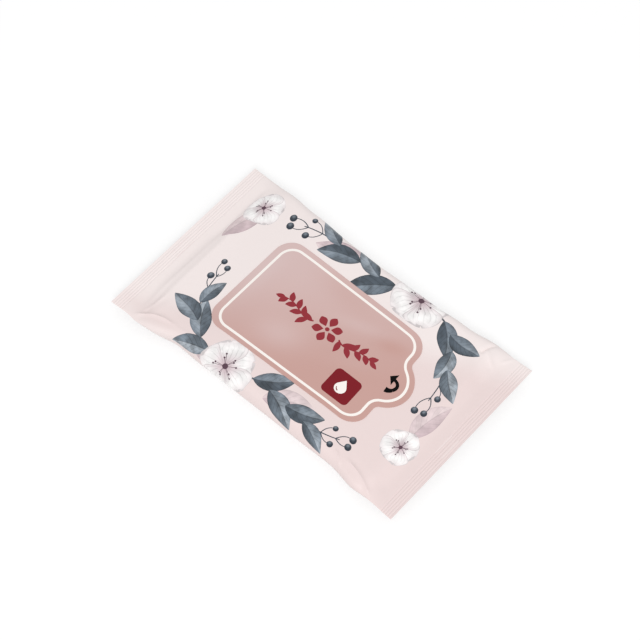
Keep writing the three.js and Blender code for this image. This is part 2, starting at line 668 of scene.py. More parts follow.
@dataclass
class ControlNet:
    """A smooth closed sleeve over a net of control points: rows along the pack, columns around it.

    net holds the points by row and column, and rows and columns are their places along and around the
    flat film, all in millimetres.
    """

    net: Points
    rows: Points
    columns: Points

    @staticmethod
    def _weights(t: Points) -> Points:
        """Weights of four control points in a row, at a share of the way between the middle two."""
        return np.stack([(1 - t) ** 3, 3 * t**3 - 6 * t**2 + 4, -3 * t**3 + 3 * t**2 + 3 * t + 1, t**3]) / 6

    def at(self, flat: Points) -> Points:
        """Carry points of the flat film onto the sleeve.

        Args:
            flat: Places along and around the flat film, in millimetres.

        Returns:
            The points in space, in millimetres.
        """
        count, around = self.net.shape[:2]
        u = (flat[:, 0] - self.rows[0]) / (self.rows[1] - self.rows[0])
        v = (flat[:, 1] - self.columns[0]) / (self.columns[1] - self.columns[0])
        row = np.clip(np.floor(u).astype(int), 0, count - 2)
        column = np.floor(v).astype(int)
        ends = [2 * self.net[:1] - self.net[1:2], self.net, 2 * self.net[-1:] - self.net[-2:-1]]
        padded = np.concatenate(ends)
        along, across = self._weights(u - row), self._weights(v - column)
        total = np.zeros((len(flat), 3))
        for i in range(4):
            for j in range(4):
                weight = (along[i] * across[j])[:, None]
                total += weight * padded[row + i, (column + j - 1) % around]
        return total

    def smoothed(self, amount: Points, rounds: int) -> "ControlNet":
        """Even out the net.

        Args:
            amount: Share of evening for each control point, from 0 to 1.
            rounds: How many times it is done.

        Returns:
            A new net.
        """
        net = self.net.copy()
        for _ in range(rounds):
            mean = net.copy()
            mean[1:-1] = (net[2:] + net[:-2] + np.roll(net, 1, 1)[1:-1] + np.roll(net, -1, 1)[1:-1]) / 4
            net += 0.5 * amount[..., None] * (mean - net)
        return ControlNet(net, self.rows, self.columns)

    def combed(self, amount: Points, rounds: int) -> "ControlNet":
        """Even out the net along the pack only, which keeps its girth.

        Args:
            amount: Share of evening for each column, from 0 to 1.
            rounds: How many times it is done.

        Returns:
            A new net.
        """
        net = self.net.copy()
        for _ in range(rounds):
            net[1:-1] += 0.5 * amount[None, :, None] * ((net[2:] + net[:-2]) / 2 - net[1:-1])
        return ControlNet(net, self.rows, self.columns)


@dataclass
class FilledPouch:
    """The film tube, sealed at both ends and filled by a cloth simulation around its stack of sheets."""

    flat_length: float = 149.2
    flat_width: float = 85.0
    drawn_length: float = 144.5
    held_band: float = 11.0
    cell: float = 1.8
    stack_half: tuple[float, float, float] = (57.5, 38.0, 4.4)
    stack_edge: float = 2.6
    grow_frames: int = 30
    settle_frames: int = 20
    scale: float = 10.0
    first_gap: float = 0.45
    first_share: float = 0.4
    ripple: float = 0.2
    slack: float = 0.01
    bending: float = 3.0
    air: float = 0.25
    top: Points = field(init=False)
    bottom: Points = field(init=False)

    @property
    def unit(self) -> float:
        """Simulation units for one millimetre."""
        return self.scale * MM

    def steps(self) -> tuple[int, int]:
        """Cells along and across the flat film, the second an even number."""
        return round(self.flat_length / self.cell), 2 * round(self.flat_width / self.cell / 2)

    def fill(self) -> ControlNet:
        """Run the simulation: the stack grows as the end seals come together, and the film settles.

        Returns:
            The filled film as a net over the flat film.
        """
        film = self._flat_tube()
        stack = self._stack()
        self._draw_in(film)
        self._cloth(film)
        scene = bpy.context.scene
        thin = self.first_gap * self.first_share / self.stack_half[2]
        for frame, share in ((1, 0.0), (self.grow_frames, 1.0)):
            stack.scale.z = thin + (1 - thin) * share
            stack.keyframe_insert("scale", frame=frame, index=2)
            key = film.data.shape_keys.key_blocks["drawn"]
            key.value = share
            key.keyframe_insert("value", frame=frame)
        for frame in range(1, self.grow_frames + self.settle_frames + 1):
            scene.frame_set(frame)
        graph = bpy.context.evaluated_depsgraph_get()
        places = np.array([v.co for v in film.evaluated_get(graph).to_mesh().vertices]) / self.unit
        for used in (film, stack):
            mesh = used.data
            bpy.data.objects.remove(used)
            bpy.data.meshes.remove(mesh)
        scene.frame_set(1)
        return self._net(places)

    def _first_half(self, x: float, y: float) -> float:
        """Half of the gap between the two webs before filling, uneven so that folds find a start."""
        wave = 0.5 + 0.5 * math.sin(0.11 * x + 1.3 * math.sin(0.09 * y) + 1) * math.cos(0.13 * y + 2)
        return self.first_gap + self.ripple * wave

    def _flat_tube(self) -> bpy.types.Object:
        """Lay the film flat, as two webs joined at the end seals and along both sides.

        Returns:
            The tube as a new object, with its corners numbered in top and bottom.
        """
        along, across = self.steps()
        xs = np.linspace(-0.5, 0.5, along + 1) * self.flat_length
        ys = np.linspace(-0.5, 0.5, across + 1) * self.flat_width
        self.top = np.zeros((along + 1, across + 1), int)
        self.bottom = np.zeros_like(self.top)
        places: list[tuple[float, float, float]] = []
        for i, x in enumerate(xs):
            sealed = self.flat_length / 2 - abs(x) < self.held_band + self.slack
            for j, y in enumerate(ys):
                self.top[i, j] = self.bottom[i, j] = len(places)
                if sealed or j in (0, across):
                    places.append((x, y, 0.0))
                    continue
                half = self._first_half(x, y)
                places.append((x, y, half))
                self.bottom[i, j] = len(places)
                places.append((x, y, -half))
        faces = []
        for i in range(along):
            for j in range(across):
                over = tuple(self.top[[i, i + 1, i + 1, i], [j, j, j + 1, j + 1]])
                under = tuple(self.bottom[[i, i, i + 1, i + 1], [j, j + 1, j + 1, j]])
                faces.append(over)
                if set(over) != set(under):
                    faces.append(under)
        mesh = bpy.data.meshes.new("flat_tube")
        mesh.from_pydata((np.array(places) * self.unit).tolist(), [], faces)
        film = bpy.data.objects.new("flat_tube", mesh)
        bpy.context.scene.collection.objects.link(film)
        return film

    def _draw_in(self, film: bpy.types.Object) -> None:
        """Hold both end seals flat and straight, and let them come together as the pack fills.

        Args:
            film: The flat tube.
        """
        limit = (self.flat_length / 2 - self.held_band - self.slack) * self.unit
        sealed = [v.index for v in film.data.vertices if abs(v.co.x) > limit]
        film.vertex_groups.new(name="seal").add(sealed, 1.0, "REPLACE")
        film.shape_key_add(name="flat")
        drawn = film.shape_key_add(name="drawn")
        pull = (self.flat_length - self.drawn_length) / 2 * self.unit
        for k in sealed:
            place = drawn.data[k].co
            place.x -= math.copysign(pull, place.x)

    def _stack(self) -> bpy.types.Object:
        """Model the stack of folded sheets, which the film comes to lie against.

        Returns:
            A block with rounded edges, as a new object.
        """
        bpy.ops.object.select_all(action="DESELECT")
        bpy.ops.mesh.primitive_cube_add(size=2)
        stack = bpy.context.object
        stack.scale = [half * self.unit for half in self.stack_half]
        bpy.ops.object.transform_apply(scale=True)
        edge = stack.modifiers.new("edge", "BEVEL")
        edge.width = self.stack_edge * self.unit
        edge.segments = 6
        bpy.ops.object.modifier_apply(modifier="edge")
        facets = stack.modifiers.new("facets", "SUBSURF")
        facets.subdivision_type = "SIMPLE"
        facets.levels = facets.render_levels = 3
        bpy.ops.object.modifier_apply(modifier="facets")
        stack.modifiers.new("touch", "COLLISION")
        stack.collision.thickness_outer = 0.002
        stack.collision.thickness_inner = 0.05
        stack.collision.cloth_friction = 2.0
        return stack

    def _cloth(self, film: bpy.types.Object) -> None:
        """Give the tube the stiffness of laminate film and a little air inside.

        Args:
            film: The flat tube.
        """
        cloth = film.modifiers.new("film", "CLOTH")
        made = cloth.settings
        made.quality = 8
        made.mass = 0.2
        made.tension_stiffness = made.compression_stiffness = 60
        made.shear_stiffness = 20
        made.bending_stiffness = self.bending
        made.tension_damping = made.compression_damping = made.shear_damping = 10
        made.bending_damping = 2
        made.air_damping = 3
        made.vertex_group_mass = "seal"
        made.pin_stiffness = 1
        made.use_pressure = True
        made.uniform_pressure_force = self.air
        made.effector_weights.gravity = 0
        cloth.collision_settings.distance_min = 0.003
        cloth.collision_settings.collision_quality = 3
        cloth.collision_settings.use_self_collision = False
        cloth.point_cache.frame_start = 1
        cloth.point_cache.frame_end = self.grow_frames + self.settle_frames + 1

    def _net(self, places: Points) -> ControlNet:
        """Put the tube's corners in order.

        Args:
            places: Place of each corner, in millimetres.

        Returns:
            A net whose columns run around the pack from the back seam, with the upper web in the middle.
        """
        along, across = self.steps()
        half = across // 2
        under_left = [self.bottom[:, half - k] for k in range(half)]
        over = [self.top[:, k] for k in range(across + 1)]
        under_right = [self.bottom[:, across - k] for k in range(1, half)]
        order = np.stack(under_left + over + under_right, axis=1)
        rows = np.linspace(-0.5, 0.5, along + 1) * self.flat_length
        columns = -self.flat_width + np.arange(2 * across) * self.flat_width / across
        return ControlNet(places[order], rows, columns)


@dataclass(frozen=True)
class Crease:
    """One fold in the upper film: a line that stands proud or sinks, with a hollow on either side.

    The line is a cubic Bezier curve in the plan view, and left and right are seen along it. A sharp
    crease has a keen line, and a soft one is rounded.
    """

    line: tuple[tuple[float, float], ...]
    rise: float
    width: float
    left_dip: float = 0.0
    right_dip: float = 0.0
    dip_width: float = 3.0
    sharp: bool = True
    fade: float = 0.25
    sides: int = 24
    row_points: int = 42
    row_shares: tuple[float, ...] = (0.0, 0.35, -0.35, 0.7, -0.7, 1.05, -1.05)

    def rows(self) -> Points:
        """Set rows of points along the crease and beside it.

        Returns:
            The points in the plan view.
        """
        line = bezier(np.array(self.line), self.row_points)
        away = side_of(line) * self.width
        return np.vstack([line + share * away for share in self.row_shares])

    def lift(self, plan: Points) -> Points:
        """How far the crease lifts points of the film.

        Args:
            plan: The points in the plan view.

        Returns:
            The lift of each point in millimetres, below zero where it sinks.
        """
        nearest, share, way, offset = beside(plan, bezier(np.array(self.line), self.sides + 1))
        along = (nearest + share) / self.sides
        distance = np.sqrt(np.sum(offset * offset, axis=1))
        near = np.clip(1 - distance / self.width, 0, 1)
        ridge = self.rise * (near**2 if self.sharp else near**2 * (3 - 2 * near))
        out = np.clip(distance / self.dip_width, 0, 1)
        full_depth = 27 / 4  # the hollow's curve alone is 4/27 deep
        dip = np.where(leftward(way, offset) > 0, self.left_dip, self.right_dip) * full_depth
        ends = smoothstep(along, 0, self.fade) * (1 - smoothstep(along, 1 - self.fade, 1))
        return (ridge - dip * out * (1 - out) ** 2) * ends


@dataclass(frozen=True)
class Swell:
    """A stretch of a long edge that stands further out, or in, than the simulation leaves it."""

    side: int
    centre: float
    reach: float
    out: float
    inner: float = 20.0
    outer: float = 40.0

    def push(self, net: Points) -> Points:
        """How far the swell moves the points of a net across the pack, in millimetres."""
        along = np.exp(-(((net[..., 0] - self.centre) / self.reach) ** 2))
        return self.side * self.out * along * smoothstep(self.side * net[..., 1], self.inner, self.outer)


LEFT_FOLDS = (
    Crease(((-57.2, 18), (-57.4, 5), (-57.0, -10), (-57.4, -30)), rise=0.28, width=2.4),
    Crease(((-61.4, 12), (-61.6, -2), (-61.6, -16), (-61.0, -34)), rise=0.5, width=2.6, sharp=False),
    Crease(
        ((-62.5, -41.5), (-57.5, -38.0), (-50.7, -34.1), (-42, -35.6)),
        rise=0.42, width=1.7, left_dip=0.16, right_dip=0.3, dip_width=4.5,
    ),
    Crease(
        ((-59.6, -38.2), (-58.8, -35.6), (-57.1, -33), (-56.5, -24)),
        rise=0.28, width=1.6, right_dip=0.22, dip_width=4.0,
    ),
    Crease(
        ((-46, -35.3), (-34, -34.8), (-20, -34.4), (-4, -34.8)),
        rise=0.16, width=1.3, right_dip=0.3, dip_width=6.0,
    ),
)

RIGHT_FOLDS = (
    Crease(((52.4, 33), (53.2, 36.2), (53.9, 39), (55.6, 42.8)), rise=-0.8, width=1.7),
    Crease(
        ((53.6, 37.5), (55.4, 35.6), (57.6, 34.2), (62, 32)),
        rise=0.3, width=2.2, right_dip=0.25, dip_width=5.0,
    ),
    Crease(((48, 34), (55, 31), (60.5, 26), (67, 16)), rise=-0.35, width=4.5, sharp=False),
    Crease(((60.5, 36), (62.2, 38), (63, 40.6), (64.6, 42.8)), rise=0.25, width=1.4, right_dip=0.1),
    Crease(
        ((43, -35.4), (50, -36.0), (55, -37.2), (61.8, -41.6)),
        rise=0.4, width=1.7, left_dip=0.18, right_dip=0.25, dip_width=4.5,
    ),
    Crease(((38.5, -35), (40.5, -36), (42.5, -37.6), (45, -40.5)), rise=0.3, width=1.5, left_dip=0.15),
    Crease(((56.4, 26), (56.2, 19), (56.4, 13), (56.3, 4)), rise=0.2, width=2.0),
    Crease(((56.6, -14), (57.0, -24), (57.4, -30), (58.4, -38)), rise=0.25, width=2.0),
)

SWELLS = (
    Swell(1, centre=-61, reach=6, out=0.6),
    Swell(1, centre=-37, reach=12, out=1.6),
    Swell(1, centre=-2, reach=9, out=-0.4),
    Swell(1, centre=38, reach=7, out=1.0),
    Swell(1, centre=58, reach=6, out=0.4),
    Swell(-1, centre=-59, reach=5, out=0.7),
    Swell(-1, centre=-41, reach=7, out=-0.4),
)


@dataclass
class FilmForm:
    """The finished surface of the film: the filled net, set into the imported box, with seals and ribs."""

    net: ControlNet
    low: Vector
    high: Vector
    flat_length: float
    flat_width: float
    seal_band: float = 6.3
    rib_count: int = 5
    rib_margin: float = 0.4
    rib_depth: float = 0.2
    half_seal: float = 0.1
    fold_round: float = 0.4
    seam_width: float = 10.0
    seam_lift: float = 0.25
    seam_groove: float = 1.6
    calm_along: tuple[float, float] = (48.0, 56.0)
    calm_across: tuple[float, float] = (27.0, 34.0)
    calm_rounds: int = 24
    calm_full: float = 0.9
    flank: tuple[float, float] = (33.0, 39.0)
    flank_rounds: int = 14
    ear: tuple[float, float] = (38.0, 55.0)
    ear_half: float = 41.7
    droop: float = 0.5
    droop_along: tuple[float, float] = (20.0, 60.0)
    crease_edge: tuple[float, float] = (0.2, 3.5)
    sample_columns: int = 341
    creases: tuple[Crease, ...] = LEFT_FOLDS + RIGHT_FOLDS
    swells: tuple[Swell, ...] = SWELLS

    def __post_init__(self) -> None:
        """Even out the net where sheets or table press on it, and fit it into the box."""
        middle = np.minimum(np.abs(self.net.columns), self.flat_width - np.abs(self.net.columns))
        pressed = (1 - smoothstep(np.abs(self.net.rows), *self.calm_along))[:, None]
        pressed = pressed * (1 - smoothstep(middle, *self.calm_across))
        calm = self.net.smoothed(pressed, self.calm_rounds).smoothed(np.ones_like(pressed), 1)
        calm = calm.combed(smoothstep(middle, *self.flank), self.flank_rounds)
        net = calm.net
        flat_part = net[pressed > self.calm_full][:, 2]
        lower, upper = np.median(flat_part[flat_part < 0]), np.median(flat_part[flat_part > 0])
        net[..., 2] = (net[..., 2] - lower) * (self.high.z - self.low.z) / (upper - lower)
        out = np.abs(net[..., 0])
        level = (self.high.z - self.low.z) / 2
        fall = 1 - self.droop * smoothstep(out, *self.droop_along)
        net[..., 2] = level + (net[..., 2] - level) * fall
        half = np.max(np.abs(net[..., 1]), axis=1)
        ear = smoothstep(out.max(axis=1), *self.ear)
        net[..., 1] *= (1 + ear * (np.maximum(self.ear_half / half, 1) - 1))[:, None]
        net[..., 1] += sum(swell.push(net) for swell in self.swells)
        for axis in (0, 1):
            reach = np.ptp(self._sample(calm)[:, axis])
            net[..., axis] *= (self.high[axis] - self.low[axis]) / reach
        self.net = calm

    def _sample(self, net: ControlNet) -> Points:
        """Points all over the sleeve of a net."""
        xs, ss = np.meshgrid(net.rows, np.linspace(-1, 1, self.sample_columns) * self.flat_width)
        return net.at(np.column_stack([xs.ravel(), ss.ravel()]))

    @property
    def rib_pitch(self) -> float:
        """Distance from one crimp rib to the next."""
        return (self.seal_band - 2 * self.rib_margin) / self.rib_count

    def ribs(self, along: Points) -> Points:
        """Find how deep the crimp grooves press the film.

        Args:
            along: Places along the flat film.

        Returns:
            The film's height there, which is zero outside the seals and below zero in a groove.
        """
        turns = (self.flat_length / 2 - np.abs(along) - self.rib_margin) / self.rib_pitch
        groove = np.sin(np.pi * turns) ** 4
        return np.where((turns > 0) & (turns < self.rib_count), -self.rib_depth * groove, 0)

    def at(self, flat: Points) -> Points:
        """Carry points of the flat film onto the finished film.

        Args:
            flat: Places along and around the flat film, in millimetres.

        Returns:
            The points in space, in millimetres.
        """
        places = self.net.at(flat)
        from_fold = self.flat_width / 2 - np.abs(flat[:, 1])
        places[:, 2] += self.half_seal * np.clip(from_fold / self.fold_round, -1, 1) + self.ribs(flat[:, 0])
        under = from_fold < 0
        upper = from_fold > self.crease_edge[0]
        hold = smoothstep(from_fold[upper], *self.crease_edge)
        for crease in self.creases:
            places[upper, 2] += hold * crease.lift(places[upper, :2])
        shut = (self.high.z - self.low.z) / 2 + self.half_seal / 2
        places[upper, 2] = np.maximum(places[upper, 2], shut + self.ribs(flat[upper, 0]))
        off_seam = np.maximum(places[:, 1], -self.seam_width - places[:, 1])
        floor = self.seam_lift * (1 - smoothstep(off_seam, 0, self.seam_groove))
        places[under, 2] = np.maximum(places[under, 2], floor[under])
        places[:, 2] = np.maximum(places[:, 2], 0)
        return places

    def under(self, plan: Points, rounds: int = 10) -> Points:
        """Find the places of the flat film that come to lie at points of the plan view.

        Args:
            plan: Points on the pack's upper side, seen from above, in millimetres.
            rounds: How many times the guess is bettered.

        Returns:
            Places along and around the flat film.
        """
        flat = plan.copy()
        for _ in range(rounds):
            flat += plan - self.at(flat)[:, :2]
        return flat


@dataclass
class PrintedSheet:
    """A flat sheet cut into small triangles along its print, and carried onto a surface."""

    name: str
    boundary: Points
    grid: Points
    shapes: list[Shape]
    ground: Callable[[Points], Ink]
    spare: float = 0.3
    same: float = 1e-5

    def triangles(self) -> tuple[Points, Points, Points]:
        """Cut the sheet.

        Returns:
            The corners on the flat sheet, the triangles, and each triangle's topmost shape or -1.
        """
        outlines = [self.boundary] + [shape.counterclockwise() for shape in self.shapes]
        drawn = np.vstack(outlines)
        points = [Vector(p) for p in np.vstack([drawn, clear_of(self.grid, drawn, self.spare)])]
        faces, start = [], 0
        for outline in outlines:
            faces.append(list(range(start, start + len(outline))))
            start += len(outline)
        corners, _, cut, _, _, source = delaunay_2d_cdt(points, [], faces, 0, self.same)
        kept = [(face, max(owners) - 1) for face, owners in zip(cut, source) if 0 in owners]
        flat = np.array([tuple(p) for p in corners])
        return flat, np.array([f for f, _ in kept]), np.array([owner for _, owner in kept])

    def inks(self, flat: Points, cut: Points, owner: Points) -> Ink:
        """The print on every corner of every triangle.

        Args:
            flat: Corners on the flat sheet.
            cut: Triangles, as numbers of corners.
            owner: Topmost shape of each triangle.

        Returns:
            Ink with one row for each corner of each triangle.
        """
        places = flat[cut.ravel()]
        owners = np.repeat(owner, 3)
        ink = self.ground(places)
        for k in np.unique(owner[owner >= 0]):
            mine = owners == k
            part = self.shapes[k].paint(places[mine])
            ink.tint[mine], ink.motif[mine], ink.amounts[mine] = part.tint, part.motif, part.amounts
        return ink


def write_ink(mesh: bpy.types.Mesh, ink: Ink, flat: Points, span: float) -> None:
    """Store the print on a mesh's corners, with a map of the flat sheet.

    Args:
        mesh: Mesh whose faces are the sheet's triangles, in order.
        ink: The print on each corner.
        flat: Place of each corner on the flat sheet, in millimetres.
        span: Size of the square that the map covers.
    """
    count = len(mesh.loops)
    full = np.ones((count, 4), np.float32)
    for name, values in (("tint", ink.tint), ("ink", ink.amounts)):
        full[:, :3] = values
        layer = mesh.attributes.new(name, "FLOAT_COLOR", "CORNER")
        layer.data.foreach_set("color", full.ravel())
    place = np.zeros((count, 3), np.float32)
    place[:, :2] = ink.motif
    layer = mesh.attributes.new("motif", "FLOAT_VECTOR", "CORNER")
    layer.data.foreach_set("vector", place.ravel())
    chart = mesh.uv_layers.new(name="OFBake")
    chart.data.foreach_set("uv", (flat / span + 0.5).astype(np.float32).ravel())


@dataclass(frozen=True)
class Ramp:
    """A soft step from one value to another, taken while a measure goes from low to high."""

    low: float
    high: float
    start: float
    end: float


@dataclass
class NodeSketch:
    """Adds nodes to a material or to the world."""

    tree: bpy.types.NodeTree

    def attribute(self, name: str, output: str) -> Socket:
        """Read an attribute of the piece.

        Args:
            name: Name of the attribute.
            output: Name of the output that is wanted.

        Returns:
            That output.
        """
        node = self.tree.nodes.new("ShaderNodeAttribute")
        node.attribute_name = name
        return node.outputs[output]

    def split(self, vector: Socket) -> list[Socket]:
        """Take a vector apart.

        Args:
            vector: Output that gives the vector.

        Returns:
            Its three parts.
        """
        node = self.tree.nodes.new("ShaderNodeSeparateXYZ")
        self.tree.links.new(vector, node.inputs[0])
        return list(node.outputs)

    def calculate(self, kind: str, *values: Socket | float) -> Socket:
        """Add one Math node.

        Args:
            kind: Operation.
            *values: Inputs, each a socket or a number.

        Returns:
            The node's output.
        """
        node = self.tree.nodes.new("ShaderNodeMath")
        node.operation = kind
        for slot, value in zip(node.inputs, values):
            if isinstance(value, (int, float)):
                slot.default_value = value
            else:
                self.tree.links.new(value, slot)
        return node.outputs[0]

    def ramp(self, value: Socket, ramp: Ramp) -> Socket:
        """Send a value through a ramp.

        Args:
            value: The measure.
            ramp: The ramp.

        Returns:
            The ramp's value.
        """
        node = self.tree.nodes.new("ShaderNodeMapRange")
        node.interpolation_type = "SMOOTHSTEP"
        for slot, number in zip(node.inputs[1:5], (ramp.low, ramp.high, ramp.start, ramp.end)):
            slot.default_value = number
        self.tree.links.new(value, node.inputs[0])
        return node.outputs[0]

    def noise(self, scale: float, detail: float) -> Socket:
        """Add a noise that stays fixed to the piece.

        Args:
            scale: Its fineness.
            detail: How many finer layers it has.

        Returns:
            The noise's value.
        """
        place = self.tree.nodes.new("ShaderNodeTexCoord")
        noise = self.tree.nodes.new("ShaderNodeTexNoise")
        noise.inputs["Scale"].default_value = scale
        noise.inputs["Detail"].default_value = detail
        self.tree.links.new(place.outputs["Object"], noise.inputs["Vector"])
        return noise.outputs[0]

    def seen_or_lit(self, seen: float, lit: float) -> Socket:
        """Tell rays that the camera, a reflection or clear stuff sends out from rays of light.

        Args:
            seen: Value for the former.
            lit: Value for rays of light.

        Returns:
            The value for the ray at hand.
        """
        path = self.tree.nodes.new("ShaderNodeLightPath")
        rays = path.outputs["Is Camera Ray"]
        for name in ("Is Glossy Ray", "Is Transmission Ray"):
            rays = self.calculate("MAXIMUM", rays, path.outputs[name])
        node = self.tree.nodes.new("ShaderNodeMapRange")
        node.inputs["To Min"].default_value = lit
        node.inputs["To Max"].default_value = seen
        self.tree.links.new(rays, node.inputs["Value"])
        return node.outputs[0]


@dataclass(frozen=True)
class PrintFinish:
    """Printed plastic film: watercolour print under a satin surface with a fine crinkle."""

    name: str
    roughness: float
    gloss: float
    crinkle: float
    crinkle_depth: float = 0.0004
    crinkle_scale: float = 420.0
    crinkle_detail: float = 3.0
    grain_scale: float = 260.0
    grain_detail: float = 5.0
    blot: Ramp = Ramp(0.3, 0.7, -0.36, 0.3)
    vein_count: float = 7.5
    vein_slant: float = -1.9
    vein: Ramp = Ramp(0.0, 0.09, 0.42, 0.0)
    midrib: Ramp = Ramp(0.0, 0.1, 0.45, 0.0)
    leaf_rim: Ramp = Ramp(0.82, 1.0, 0.0, 0.3)
    streak_count: float = 3.4
    streak_drift: float = 1.2
    streak: Ramp = Ramp(0.0, 0.16, 0.24, 0.0)
    streak_fade: Ramp = Ramp(0.25, 1.0, 1.0, 0.15)
    petal_hem: Ramp = Ramp(0.9, 1.0, 0.0, 0.26)

    def material(self) -> bpy.types.Material:
        """Build the material, which reads the print from the piece's own attributes.

        Returns:
            The new material.
        """
        made = bpy.data.materials.new(self.name)
        made.use_nodes = True
        tree = made.node_tree
        nodes = NodeSketch(tree)
        shader = tree.nodes["Principled BSDF"]
        scaled = tree.nodes.new("ShaderNodeVectorMath")
        scaled.operation = "SCALE"
        tree.links.new(nodes.attribute("tint", "Color"), scaled.inputs[0])
        tree.links.new(self._shade(nodes), scaled.inputs["Scale"])
        tree.links.new(scaled.outputs[0], shader.inputs["Base Color"])
        bump = tree.nodes.new("ShaderNodeBump")
        bump.inputs["Strength"].default_value = self.crinkle
        bump.inputs["Distance"].default_value = self.crinkle_depth
        tree.links.new(nodes.noise(self.crinkle_scale, self.crinkle_detail), bump.inputs["Height"])
        tree.links.new(bump.outputs[0], shader.inputs["Normal"])
        shader.inputs["Roughness"].default_value = self.roughness
        shader.inputs["Specular IOR Level"].default_value = self.gloss
        return made

    def _shade(self, nodes: NodeSketch) -> Socket:
        """Work out the light and dark of the wash, of leaf veins and of petal streaks.

        Args:
            nodes: The material's nodes.

        Returns:
            The factor that the print's colour is scaled by.
        """
        wash, veins, streaks = nodes.split(nodes.attribute("ink", "Vector"))
        along, across, _ = nodes.split(nodes.attribute("motif", "Vector"))
        grain = nodes.noise(self.grain_scale, self.grain_detail)
        blot = nodes.calculate("MULTIPLY", nodes.ramp(grain, self.blot), wash)
        turns = nodes.calculate("MULTIPLY", along, self.vein_count)
        slant = nodes.calculate("MULTIPLY_ADD", across, self.vein_slant, turns)
        vein = nodes.ramp(nodes.calculate("PINGPONG", slant, 0.5), self.vein)
        veined = nodes.calculate("MAXIMUM", vein, nodes.ramp(across, self.midrib))
        lines = nodes.calculate("MAXIMUM", veined, nodes.ramp(across, self.leaf_rim))
        bands = nodes.calculate("MULTIPLY", across, self.streak_count)
        drift = nodes.calculate("MULTIPLY_ADD", grain, self.streak_drift, bands)
        streak = nodes.ramp(nodes.calculate("PINGPONG", drift, 0.5), self.streak)
        faded = nodes.calculate("MULTIPLY", streak, nodes.ramp(along, self.streak_fade))
        reach = nodes.calculate("MAXIMUM", nodes.calculate("ABSOLUTE", across), along)
        hemmed = nodes.calculate("MAXIMUM", faded, nodes.ramp(reach, self.petal_hem))
        dark = nodes.calculate("MULTIPLY_ADD", lines, veins, nodes.calculate("MULTIPLY", hemmed, streaks))
        return nodes.calculate("SUBTRACT", nodes.calculate("ADD", blot, 1.0), dark)


